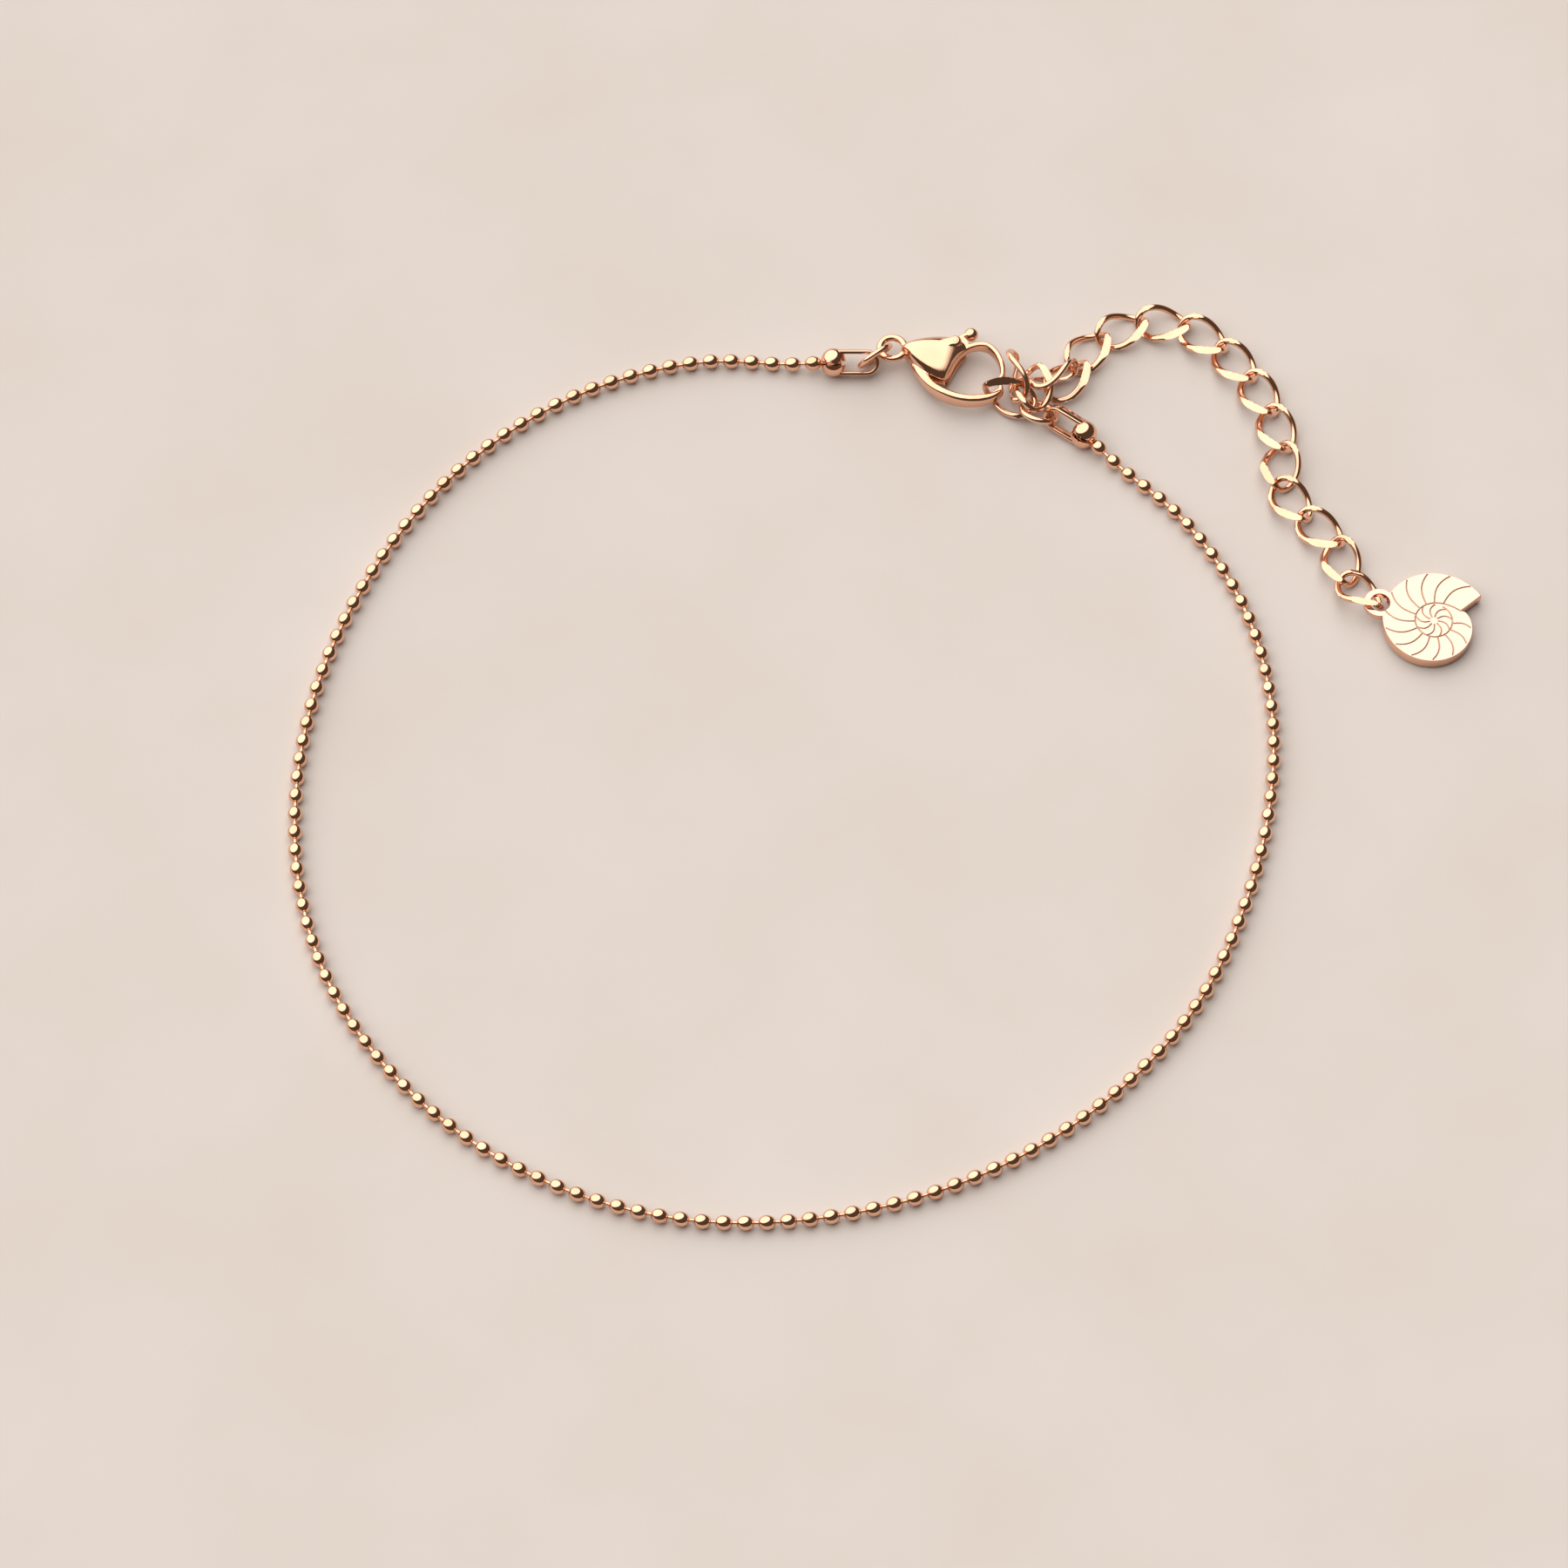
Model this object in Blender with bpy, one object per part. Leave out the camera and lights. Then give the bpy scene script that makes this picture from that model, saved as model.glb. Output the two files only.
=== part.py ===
"""Ball chain anklet, fastened and lying flat.

Two halves of a ball chain end in folded cups. A small ring joins the left cup to a lobster clasp, and a ring
in the right cup starts a curb chain that carries a shell charm. The clasp's hook holds the first curb link.
Metres, +Z up. The pieces lie on z = 0, and the whole outline is centred on the origin.
"""

from math import cos, hypot, pi, radians, sin, sqrt

import bmesh
import bpy
from mathutils import Euler, Matrix, Vector
from mathutils.geometry import interpolate_bezier

MM = 0.001

# Clearance between two pieces of metal that touch on the real chain
TOUCH_GAP = 0.12 * MM

# Ball chain
BEAD_DIAMETER = 1.20 * MM
BEAD_SPACE = 0.42 * MM
PIN_DIAMETER = 0.30 * MM
BEAD_SIDES = 10
# Where a bead's outline turns from its band to its ends, as an angle from its equator
BEAD_SHOULDER_ANGLE = 26.0
# How far along the string the beads climb from the ground to a cup
CLIMB_LENGTH = 5.0 * MM

# Route of the string of beads, from the bead in the right cup round to the bead in the left cup
BEAD_ROUTE_MM = [
    (15.5, 28.8), (17.6, 26.7), (23.5, 20.8), (27.8, 13.0), (29.6, 4.3), (29.2, -4.6), (27.1, -13.2),
    (23.5, -21.4), (18.0, -28.3), (11.0, -33.9), (3.0, -37.8), (-5.6, -39.9), (-14.5, -40.1),
    (-23.1, -38.0), (-30.9, -33.8), (-37.5, -27.7), (-42.3, -20.3), (-44.9, -11.8), (-45.4, -2.9),
    (-44.1, 5.9), (-41.1, 14.3), (-36.6, 22.0), (-30.6, 28.5), (-23.1, 33.3), (-14.6, 35.8),
    (-6.5, 35.5), (-4.1, 35.5),
]

# Folded end cups: two half domes closed round a bead, on a strap that is bent into a U
CUP_CLEARANCE = 0.10 * MM
CUP_WALL = 0.28 * MM
CUP_SLIT = 0.30 * MM
CUP_REACH = 3.60 * MM
STRAP_GAP = 1.40 * MM
STRAP_THICKNESS = 0.30 * MM
STRAP_WIDTH = 0.90 * MM
RIGHT_CUP_HEADING, RIGHT_CUP_ROLL = 144.0, -59.0
LEFT_CUP_HEADING, LEFT_CUP_ROLL = 0.0, 39.0

# Curb links: ovals twisted by a quarter turn from end to end
LINK_LENGTH = 4.60 * MM
LINK_WIDTH = 3.20 * MM
LINK_WIRE = 0.50 * MM
LINK_TWIST = 90.0
LINK_POINTS = 12
WIRE_SIDES = 6

# Round rings
END_RING_DIAMETER = 3.30 * MM
END_RING_WIRE = 0.50 * MM
CLASP_RING_DIAMETER = 3.28 * MM
CLASP_RING_WIRE = 0.44 * MM
RING_POINTS = 14

# Lobster clasp, in its own frame: the lever's axis is the origin, +X runs to the hook, +Y to the lever
CLASP_MID_HEIGHT = 1.30 * MM
CLASP_PLACE_MM = (5.47, 36.80)
CLASP_HEADING = -20.0
EYE_CENTRE_MM = (-4.60, -1.80)
EYE_RADIUS = 0.98 * MM
EYE_WIRE = 0.56 * MM
DOME_CENTRE_MM = (-2.00, -1.60)
DOME_LENGTH = 3.70 * MM
DOME_WIDTH = 3.80 * MM
DOME_TAPER = 0.32
# The neck's root in the dome: how far before the dome's middle it lies, and its width
NECK_ROOT_REACH = 0.80 * MM
NECK_ROOT_WIDTH = 1.30 * MM
HOOK_DEPTH = 1.04 * MM
EAR_RADIUS = 0.52 * MM
EAR_DEPTH = 1.80 * MM
LEVER_DEPTH = 0.84 * MM
LEVER_SIDE_GAP = 0.08 * MM
LEVER_PIN_DIAMETER = 0.40 * MM
PIN_CLEARANCE = 0.08 * MM
NUB_RADIUS = 0.50 * MM

# Middle lines of the hook and the lever's arm and thumb piece: x, y, width
HOOK_LINE_MM = [
    (-2.1, -2.7, 1.2), (-1.4, -3.5, 0.9), (-0.5, -4.15, 0.75), (0.6, -4.5, 0.75), (1.8, -4.55, 0.78),
    (3.0, -4.25, 0.78), (4.1, -3.6, 0.74), (4.7, -2.85, 0.62), (4.65, -2.4, 0.42),
]
ARM_LINE_MM = [
    (-0.1, -3.3, 0.40), (0.2, -2.6, 0.52), (0.3, -1.5, 0.52), (0.6, -0.5, 0.54), (1.3, 0.4, 0.54),
    (2.3, 0.78, 0.54), (3.2, 0.45, 0.54), (3.95, -0.3, 0.52), (4.4, -1.25, 0.48), (4.3, -1.9, 0.40),
]
THUMB_LINE_MM = [(-0.9, 0.42, 0.30), (-0.1, 0.92, 0.42), (0.76, 1.5, 0.50)]
# Plate that joins the hub to the arm and to the thumb piece
LEVER_WEB_MM = [(0.0, -0.45), (0.6, -0.7), (1.1, 0.1), (0.9, 0.6), (0.3, 1.2), (-0.85, 0.45)]

# Shell charm, round the middle of its spiral
CHARM_THICKNESS = 0.95 * MM
CHARM_EAR_THICKNESS = 0.50 * MM
SHELL_MOUTH_ANGLE = 24.0
SHELL_TURN = 352.0
SHELL_INNER_RADIUS = 2.30 * MM
SHELL_OUTER_RADIUS = 4.45 * MM
SHELL_SWELL = 0.45
SHELL_POINTS = 36
CHARM_TILT = 3.1
CHARM_EAR_ANGLE = 160.0
CHARM_HOLE_DISTANCE = 4.40 * MM
CHARM_HOLE_DIAMETER = 1.60 * MM
CHARM_HOLE_WALL = 0.45 * MM
# Where the hole's middle lies from the middle of the link's wire in it: x, y
CHARM_HOLE_OFFSET_MM = (0.0, 0.26)

# The bunched links beside the clasp: x, y, z, heading, nose up, roll
BUNCHED_LINKS = [
    (9.69, 32.18, 1.32, 159.1, 10.4, -51.6),
    (10.22, 33.83, 1.72, 97.0, 6.0, 101.0),
    (11.53, 32.79, 1.64, 85.0, -6.0, -2.0),
    (13.25, 33.82, 1.76, 32.0, -12.0, 115.0),
    (14.22, 34.04, 0.89, 48.0, 0.0, -4.0),
]
# The free links lie flat and follow one another from this point, each with its own heading
FREE_CHAIN_START_MM = (14.70, 35.45)
FREE_LINK_HEADINGS = [48, 25, -6, -38, -51, -64, -73, -98, -58, -42, -81]
# The last link stands a little on edge in the charm's hole: heading, nose up, roll, and how far forward,
# left and up it lies from the place that a link on a taut flat chain would have
CHARM_LINK_TURN = (-45.0, 6.0, -20.0)
CHARM_LINK_OFFSET_MM = (-0.115, -0.054, 0.177)

# Round rings: x, y, z, heading, nose up, roll
END_RING_PLACE = (12.00, 30.94, 1.00, 152.4, 0.0, 31.9)
CLASP_RING_PLACE = (-0.84, 35.80, 1.57, 37.0, 0.0, 111.0)

# Sizes that follow from the ones above
BEAD_RADIUS = BEAD_DIAMETER / 2
BEAD_PITCH = BEAD_DIAMETER + BEAD_SPACE
CUP_INNER_RADIUS = BEAD_RADIUS + CUP_CLEARANCE
CUP_OUTER_RADIUS = CUP_INNER_RADIUS + CUP_WALL
STRAP_OUTER = STRAP_GAP / 2 + STRAP_THICKNESS
LEVER_SLOT_DEPTH = LEVER_DEPTH + 2 * LEVER_SIDE_GAP
LINK_SPAN = LINK_LENGTH - 2 * LINK_WIRE - TOUCH_GAP


def clear_scene():
    for obj in list(bpy.data.objects):
        bpy.data.objects.remove(obj, do_unlink=True)


def make_collection(name):
    collection = bpy.data.collections.new(name)
    bpy.context.scene.collection.children.link(collection)
    return collection


def metal(name, colour, roughness):
    material = bpy.data.materials.new(name)
    material.use_nodes = True
    shader = material.node_tree.nodes["Principled BSDF"]
    shader.inputs["Base Color"].default_value = (*colour, 1.0)
    shader.inputs["Metallic"].default_value = 1.0
    shader.inputs["Roughness"].default_value = roughness
    return material


def new_object(name, data, collection, material=None):
    obj = bpy.data.objects.new(name, data)
    collection.objects.link(obj)
    if material:
        data.materials.append(material)
    return obj


def turn(heading, nose_up=0.0, roll=0.0):
    """Rotation that rolls about +X, then lifts the nose, then turns about +Z, in degrees."""
    return Euler((radians(roll), radians(-nose_up), radians(heading)), "XYZ")


def place(obj, point, heading=0.0, nose_up=0.0, roll=0.0):
    obj.location = point
    obj.rotation_euler = turn(heading, nose_up, roll)
    return obj


def in_mm(values):
    return [value * MM for value in values]


def tube(name, points, radius, sides, closed, collection, material, shares=None):
    """Round wire or turned string along a line of points; shares widen it from point to point."""
    curve = bpy.data.curves.new(name, "CURVE")
    curve.dimensions = "3D"
    curve.bevel_depth = radius
    curve.bevel_resolution = sides // 2 - 2
    curve.use_fill_caps = not closed
    spline = curve.splines.new("POLY")
    spline.points.add(len(points) - 1)
    spline.use_cyclic_u = closed
    for index, point in enumerate(points):
        spline.points[index].co = (*point, 1.0)
        if shares:
            spline.points[index].radius = shares[index]
    return new_object(name, curve, collection, material)


def flat_plate(name, outline, thickness, collection, material=None):
    """Solid between two copies of a flat outline, half the thickness above and below z = 0."""
    curve = bpy.data.curves.new(name, "CURVE")
    curve.dimensions = "2D"
    curve.fill_mode = "BOTH"
    curve.extrude = thickness / 2
    spline = curve.splines.new("POLY")
    spline.points.add(len(outline) - 1)
    spline.use_cyclic_u = True
    for index, (x, y) in enumerate(outline):
        spline.points[index].co = (x, y, 0.0, 1.0)
    return as_mesh(new_object(name, curve, collection, material))


def as_mesh(obj):
    """Replace a curve object by the mesh that it shows, with its loose caps welded on."""
    evaluated = obj.evaluated_get(bpy.context.evaluated_depsgraph_get())
    mesh = bpy.data.meshes.new_from_object(evaluated)
    bm = bmesh.new()
    bm.from_mesh(mesh)
    bmesh.ops.remove_doubles(bm, verts=bm.verts, dist=0.0005 * MM)
    bmesh.ops.recalc_face_normals(bm, faces=bm.faces)
    bm.to_mesh(mesh)
    bm.free()
    name, collection, matrix = obj.name, obj.users_collection[0], obj.matrix_world.copy()
    bpy.data.objects.remove(obj, do_unlink=True)
    made = bpy.data.objects.new(name, mesh)
    collection.objects.link(made)
    made.matrix_world = matrix
    return made


def ball(name, radius, sides, rings, centre, collection, stretch=(1.0, 1.0, 1.0)):
    """Ball whose poles lie on X, moved to its centre in mesh space."""
    mesh = bpy.data.meshes.new(name)
    bm = bmesh.new()
    bmesh.ops.create_uvsphere(bm, u_segments=sides, v_segments=rings, radius=radius)
    bmesh.ops.rotate(bm, verts=bm.verts, cent=(0, 0, 0), matrix=Matrix.Rotation(pi / 2, 3, "Y"))
    bmesh.ops.scale(bm, verts=bm.verts, vec=stretch)
    bmesh.ops.translate(bm, verts=bm.verts, vec=centre)
    bm.to_mesh(mesh)
    bm.free()
    return new_object(name, mesh, collection)


def rod(name, radius, length, sides, centre, axis, collection):
    """Cylinder about a centre, along X, Y or Z, in mesh space."""
    mesh = bpy.data.meshes.new(name)
    bm = bmesh.new()
    bmesh.ops.create_cone(bm, cap_ends=True, segments=sides, radius1=radius, radius2=radius, depth=length)
    if axis == "X":
        bmesh.ops.rotate(bm, verts=bm.verts, cent=(0, 0, 0), matrix=Matrix.Rotation(pi / 2, 3, "Y"))
    bmesh.ops.translate(bm, verts=bm.verts, vec=centre)
    bm.to_mesh(mesh)
    bm.free()
    return new_object(name, mesh, collection)


def block(name, size, centre, collection):
    mesh = bpy.data.meshes.new(name)
    bm = bmesh.new()
    bmesh.ops.create_cube(bm, size=1.0)
    bmesh.ops.scale(bm, verts=bm.verts, vec=size)
    bmesh.ops.translate(bm, verts=bm.verts, vec=centre)
    bm.to_mesh(mesh)
    bm.free()
    return new_object(name, mesh, collection)


def torus(name, radius, wire, sides, wire_sides, centre, collection):
    bpy.ops.mesh.primitive_torus_add(
        major_radius=radius, minor_radius=wire / 2, major_segments=sides, minor_segments=wire_sides)
    obj = bpy.context.object
    obj.name = name
    for owner in list(obj.users_collection):
        owner.objects.unlink(obj)
    collection.objects.link(obj)
    obj.data.transform(Matrix.Translation(centre))
    return obj


def combine(target, others, operation, cutters):
    """Join or cut a mesh object with others, which become hidden guides."""
    for other in others:
        modifier = target.modifiers.new(operation.title(), "BOOLEAN")
        modifier.operation = operation
        modifier.solver = "EXACT"
        modifier.object = other
        for owner in list(other.users_collection):
            owner.objects.unlink(other)
        cutters.objects.link(other)
        other.hide_render = True
        other.display_type = "WIRE"
        other.parent = target
    return target


def outline_of_line(line):
    """Closed outline of a flat band along a middle line of (x, y, width) rows, in metres."""
    left, right = [], []
    for index, (x, y, width) in enumerate(line):
        before = line[max(index - 1, 0)]
        after = line[min(index + 1, len(line) - 1)]
        along = Vector((after[0] - before[0], after[1] - before[1])).normalized()
        side = Vector((-along.y, along.x)) * width / 2
        left.append((x + side.x, y + side.y))
        right.append((x - side.x, y - side.y))
    return [tuple(in_mm(point)) for point in left + right[::-1]]


def bead_route():
    """Smooth line through the route's points, as a fine list of flat points."""
    points = [Vector((x, y, 0.0)) * MM for x, y in BEAD_ROUTE_MM]
    line = []
    for index in range(len(points) - 1):
        start, end = points[index], points[index + 1]
        before = points[max(index - 1, 0)]
        after = points[min(index + 2, len(points) - 1)]
        reach = (end - start).length / 3
        leave = start + (end - before).normalized() * reach
        arrive = end - (after - start).normalized() * reach
        line += interpolate_bezier(start, leave, arrive, end, 20)[:-1]
    return line + [points[-1]]


def distances_along(line):
    distances = [0.0]
    for start, end in zip(line, line[1:]):
        distances.append(distances[-1] + (end - start).length)
    return distances


def point_at(line, distances, distance):
    """Point of the line at a distance from its start; past its ends the line runs straight on."""
    index = 0
    while index < len(line) - 2 and distances[index + 1] < distance:
        index += 1
    share = (distance - distances[index]) / (distances[index + 1] - distances[index])
    return line[index].lerp(line[index + 1], share)


def cup_axis_height(roll):
    """Height of a cup's middle that rests its domes and its strap on the ground."""
    lean = abs(cos(radians(roll)))
    domes = CUP_OUTER_RADIUS + CUP_SLIT / 2 * abs(sin(radians(roll)))
    strap = STRAP_OUTER * abs(sin(radians(roll))) + STRAP_WIDTH / 2 * lean
    return max(domes, strap)


def bead_height(distance, length):
    """Height of the string: on the ground, and climbing to the cup at either end."""
    height = BEAD_RADIUS
    for from_cup, roll in ((distance, RIGHT_CUP_ROLL), (length - distance, LEFT_CUP_ROLL)):
        share = max(0.0, 1.0 - max(from_cup, 0.0) / CLIMB_LENGTH)
        height += (cup_axis_height(roll) - BEAD_RADIUS) * share * share * (3 - 2 * share)
    return height


def bead_string(name, line, distances, beads, start, end, collection, material):
    """Part of the string, turned along the route: each bead is a band with two tapered ends."""
    length = distances[-1]
    pin = PIN_DIAMETER / 2
    shoulder = radians(BEAD_SHOULDER_ANGLE)
    reach = sqrt(BEAD_RADIUS ** 2 - pin ** 2)
    outline = [(-reach, pin), (-BEAD_RADIUS * sin(shoulder), BEAD_RADIUS),
               (BEAD_RADIUS * sin(shoulder), BEAD_RADIUS), (reach, pin)]
    stations = []
    for bead in beads:
        stations += [(bead + offset, radius) for offset, radius in outline]
    if start is not None:
        stations.insert(0, (start, pin))
    if end is not None:
        stations.append((end, pin))
    points, shares = [], []
    for distance, radius in stations:
        flat = point_at(line, distances, distance)
        points.append(Vector((flat.x, flat.y, bead_height(distance, length))))
        shares.append(radius / BEAD_RADIUS)
    return tube(name, points, BEAD_RADIUS, BEAD_SIDES, False, collection, material, shares)


def make_ball_chain(collection, material):
    line = bead_route()
    distances = distances_along(line)
    spaces = round(distances[-1] / BEAD_PITCH)
    pitch = distances[-1] / spaces
    beads = [pitch * index for index in range(spaces + 1)]
    half = len(beads) // 2
    meeting = (beads[half - 1] + beads[half]) / 2
    bead_string("ball_chain_right", line, distances, beads[:half], None, meeting - TOUCH_GAP / 2,
                collection, material)
    bead_string("ball_chain_left", line, distances, beads[half:], meeting + TOUCH_GAP / 2, None,
                collection, material)


def make_end_cup(name, at_mm, heading, roll, parts, cutters, material):
    """Cup round its bead at the origin, with the strap's U along +X and the slit facing +Z."""
    half_slit = CUP_SLIT / 2
    cup = ball(name, CUP_OUTER_RADIUS, 12, 8, (0, half_slit, 0), parts)
    second = ball(name + "_second_dome", CUP_OUTER_RADIUS, 12, 8, (0, -half_slit, 0), parts)
    bend = CUP_REACH - STRAP_OUTER
    arc = [pi / 2 - pi * step / 6 for step in range(7)]
    outer = [(bend + STRAP_OUTER * cos(angle), STRAP_OUTER * sin(angle)) for angle in arc]
    inner = [(bend + STRAP_GAP / 2 * cos(angle), STRAP_GAP / 2 * sin(angle)) for angle in arc]
    root = 0.2 * CUP_OUTER_RADIUS
    outline = [(root, STRAP_OUTER)] + outer + [(root, -STRAP_OUTER), (root, -STRAP_GAP / 2)]
    outline += inner[::-1] + [(root, STRAP_GAP / 2)]
    strap = flat_plate(name + "_strap", outline, STRAP_WIDTH, parts)
    combine(cup, [second, strap], "UNION", cutters)
    slit_length = 3 * CUP_OUTER_RADIUS
    slit = block(name + "_slit", (slit_length, CUP_SLIT, 4 * CUP_OUTER_RADIUS),
                 (CUP_OUTER_RADIUS * 1.2 - slit_length / 2, 0, 0), parts)
    hollow = ball(name + "_hollow", CUP_INNER_RADIUS, 10, 6, (0, 0, 0), parts)
    bore = rod(name + "_bore", PIN_DIAMETER / 2 + CUP_CLEARANCE, CUP_OUTER_RADIUS * 1.5, 10,
               (-CUP_OUTER_RADIUS, 0, 0), "X", parts)
    combine(cup, [slit, hollow, bore], "DIFFERENCE", cutters)
    cup.data.materials.append(material)
    x, y = at_mm
    return place(cup, (x * MM, y * MM, cup_axis_height(roll)), heading, 0.0, roll)


def link_points(count):
    """Middle line of a curb link along X, twisted from one end to the other."""
    half_length = (LINK_LENGTH - LINK_WIRE) / 2
    half_width = (LINK_WIDTH - LINK_WIRE) / 2
    points = []
    for step in range(count):
        angle = 2 * pi * step / count
        twist = -radians(LINK_TWIST / 2) * cos(angle)
        across = half_width * sin(angle)
        points.append((half_length * cos(angle), across * cos(twist), across * sin(twist)))
    return points


def ring_points(diameter, wire):
    radius = (diameter - wire) / 2
    angles = [2 * pi * step / RING_POINTS for step in range(RING_POINTS)]
    return [(radius * cos(angle), radius * sin(angle), 0.0) for angle in angles]


def link_rest_height():
    """Height of the middle of a link that lies flat on the ground."""
    return LINK_WIRE / 2 - min(point[2] for point in link_points(72))


def free_link_places():
    """Middle and heading of each link of the free chain, one span after another, and the chain's end."""
    place_here = Vector((*in_mm(FREE_CHAIN_START_MM), link_rest_height()))
    places = []
    for heading in FREE_LINK_HEADINGS:
        step = Vector((cos(radians(heading)), sin(radians(heading)), 0.0)) * LINK_SPAN
        places.append((place_here + step / 2, heading))
        place_here = place_here + step
    return places, place_here


def charm_link_middle():
    forward, left, up = in_mm(CHARM_LINK_OFFSET_MM)
    chain_end = free_link_places()[1]
    offset = Vector((LINK_SPAN / 2 + forward, left, up))
    return chain_end + Matrix.Rotation(radians(CHARM_LINK_TURN[0]), 3, "Z") @ offset


def charm_middle():
    """Place of the charm's spiral, which lies so that the last link runs through the charm's hole."""
    wire = Vector(((LINK_LENGTH - LINK_WIRE) / 2, 0.0, 0.0))
    wire.rotate(turn(*CHARM_LINK_TURN))
    angle = radians(CHARM_EAR_ANGLE)
    hole = charm_link_middle() + wire + Vector((*in_mm(CHARM_HOLE_OFFSET_MM), 0.0))
    height = CHARM_THICKNESS / 2 + SHELL_OUTER_RADIUS * sin(radians(CHARM_TILT))
    x = hole.x - CHARM_HOLE_DISTANCE * cos(angle)
    y = hole.y - CHARM_HOLE_DISTANCE * sin(angle)
    return (x, y, height)


def make_link(name, middle, heading, nose_up, roll, collection, material):
    link = tube(name, link_points(LINK_POINTS), LINK_WIRE / 2, WIRE_SIDES, True, collection, material)
    return place(link, middle, heading, nose_up, roll)


def make_links(collection, material):
    number = 1
    for x, y, z, heading, nose_up, roll in BUNCHED_LINKS:
        make_link(f"extender_link_{number:02d}", in_mm((x, y, z)), heading, nose_up, roll,
                  collection, material)
        number += 1
    for middle, heading in free_link_places()[0]:
        make_link(f"extender_link_{number:02d}", middle, heading, 0.0, 0.0, collection, material)
        number += 1
    make_link("charm_link", charm_link_middle(), *CHARM_LINK_TURN, collection, material)


def make_ring(name, diameter, wire, spot, collection, material):
    ring = tube(name, ring_points(diameter, wire), wire / 2, WIRE_SIDES, True, collection, material)
    x, y, z, heading, nose_up, roll = spot
    return place(ring, in_mm((x, y, z)), heading, nose_up, roll)


def make_dome(parts):
    """Teardrop dome of the clasp, narrower towards the eye."""
    x, y = in_mm(DOME_CENTRE_MM)
    stretch = (DOME_LENGTH / 2, DOME_WIDTH / 2, CLASP_MID_HEIGHT)
    dome = ball("clasp_body", 1.0, 16, 10, (0, 0, 0), parts, stretch)
    for vertex in dome.data.vertices:
        share = vertex.co.x / (DOME_LENGTH / 2)
        vertex.co.y *= 1 + DOME_TAPER * share
    dome.data.transform(Matrix.Translation((x, y, 0)))
    return dome


def make_clasp_body(parts, cutters, material):
    body = make_dome(parts)
    eye = torus("clasp_eye", EYE_RADIUS, EYE_WIRE, 16, 6, (*in_mm(EYE_CENTRE_MM), 0), parts)
    hook = flat_plate("clasp_hook", outline_of_line(HOOK_LINE_MM), HOOK_DEPTH, parts)
    neck_line = [(EYE_CENTRE_MM[0] + EYE_RADIUS / MM, EYE_CENTRE_MM[1], EYE_WIRE / MM),
                 (DOME_CENTRE_MM[0] - NECK_ROOT_REACH / MM, DOME_CENTRE_MM[1], NECK_ROOT_WIDTH / MM)]
    neck = flat_plate("clasp_neck", outline_of_line(neck_line), EYE_WIRE, parts)
    ear_line = [(-1.2, -0.9, 0.9), (0.0, 0.0, 2 * EAR_RADIUS / MM)]
    ear_root = flat_plate("clasp_ear_root", outline_of_line(ear_line), EAR_DEPTH, parts)
    ear = rod("clasp_ear", EAR_RADIUS, EAR_DEPTH, 12, (0, 0, 0), "Z", parts)
    combine(body, [eye, neck, hook, ear_root, ear], "UNION", cutters)
    tail = ARM_LINE_MM[0]
    reach = hypot(tail[0], tail[1]) * MM + TOUCH_GAP
    arc = [radians(-60 - 54 * step / 5) for step in range(6)]
    fan = [(0.0, 0.0)] + [(reach * cos(angle), reach * sin(angle)) for angle in arc]
    tail_room = flat_plate("clasp_tail_room", fan, LEVER_SLOT_DEPTH, parts)
    hub_room = rod("clasp_hub_room", EAR_RADIUS + TOUCH_GAP, LEVER_SLOT_DEPTH, 16, (0, 0, 0), "Z", parts)
    pin_hole = rod("clasp_pin_hole", LEVER_PIN_DIAMETER / 2 + PIN_CLEARANCE, 2 * EAR_DEPTH, 12,
                   (0, 0, 0), "Z", parts)
    combine(body, [tail_room, hub_room, pin_hole], "DIFFERENCE", cutters)
    body.data.materials.append(material)
    return place(body, (*in_mm(CLASP_PLACE_MM), CLASP_MID_HEIGHT), CLASP_HEADING)


def make_clasp_lever(parts, cutters, material):
    lever = rod("clasp_lever", EAR_RADIUS, LEVER_DEPTH, 12, (0, 0, 0), "Z", parts)
    arm = flat_plate("lever_arm", outline_of_line(ARM_LINE_MM), LEVER_DEPTH, parts)
    thumb = flat_plate("lever_thumb", outline_of_line(THUMB_LINE_MM), LEVER_DEPTH, parts)
    web = flat_plate("lever_web", [tuple(in_mm(point)) for point in LEVER_WEB_MM], LEVER_DEPTH, parts)
    nub = rod("lever_nub", NUB_RADIUS, LEVER_DEPTH, 12, (*in_mm(THUMB_LINE_MM[-1][:2]), 0), "Z", parts)
    combine(lever, [arm, thumb, web, nub], "UNION", cutters)
    pin_hole = rod("lever_pin_hole", LEVER_PIN_DIAMETER / 2 + PIN_CLEARANCE, 2 * LEVER_DEPTH, 12,
                   (0, 0, 0), "Z", parts)
    combine(lever, [pin_hole], "DIFFERENCE", cutters)
    lever.data.materials.append(material)
    place(lever, (*in_mm(CLASP_PLACE_MM), CLASP_MID_HEIGHT), CLASP_HEADING)
    pin = rod("lever_pin", LEVER_PIN_DIAMETER / 2, EAR_DEPTH, 10, (0, 0, 0), "Z", parts)
    pin.data.materials.append(material)
    place(pin, (*in_mm(CLASP_PLACE_MM), CLASP_MID_HEIGHT), CLASP_HEADING)


def shell_outline():
    """Shell outline from the inner end of its mouth, round the whorl, to the mouth's tip."""
    outline = []
    for step in range(SHELL_POINTS):
        share = step / (SHELL_POINTS - 1)
        angle = radians(SHELL_MOUTH_ANGLE - SHELL_TURN * share)
        growth = share ** SHELL_SWELL
        radius = SHELL_INNER_RADIUS + (SHELL_OUTER_RADIUS - SHELL_INNER_RADIUS) * growth
        outline.append((radius * cos(angle), radius * sin(angle)))
    return outline


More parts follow.
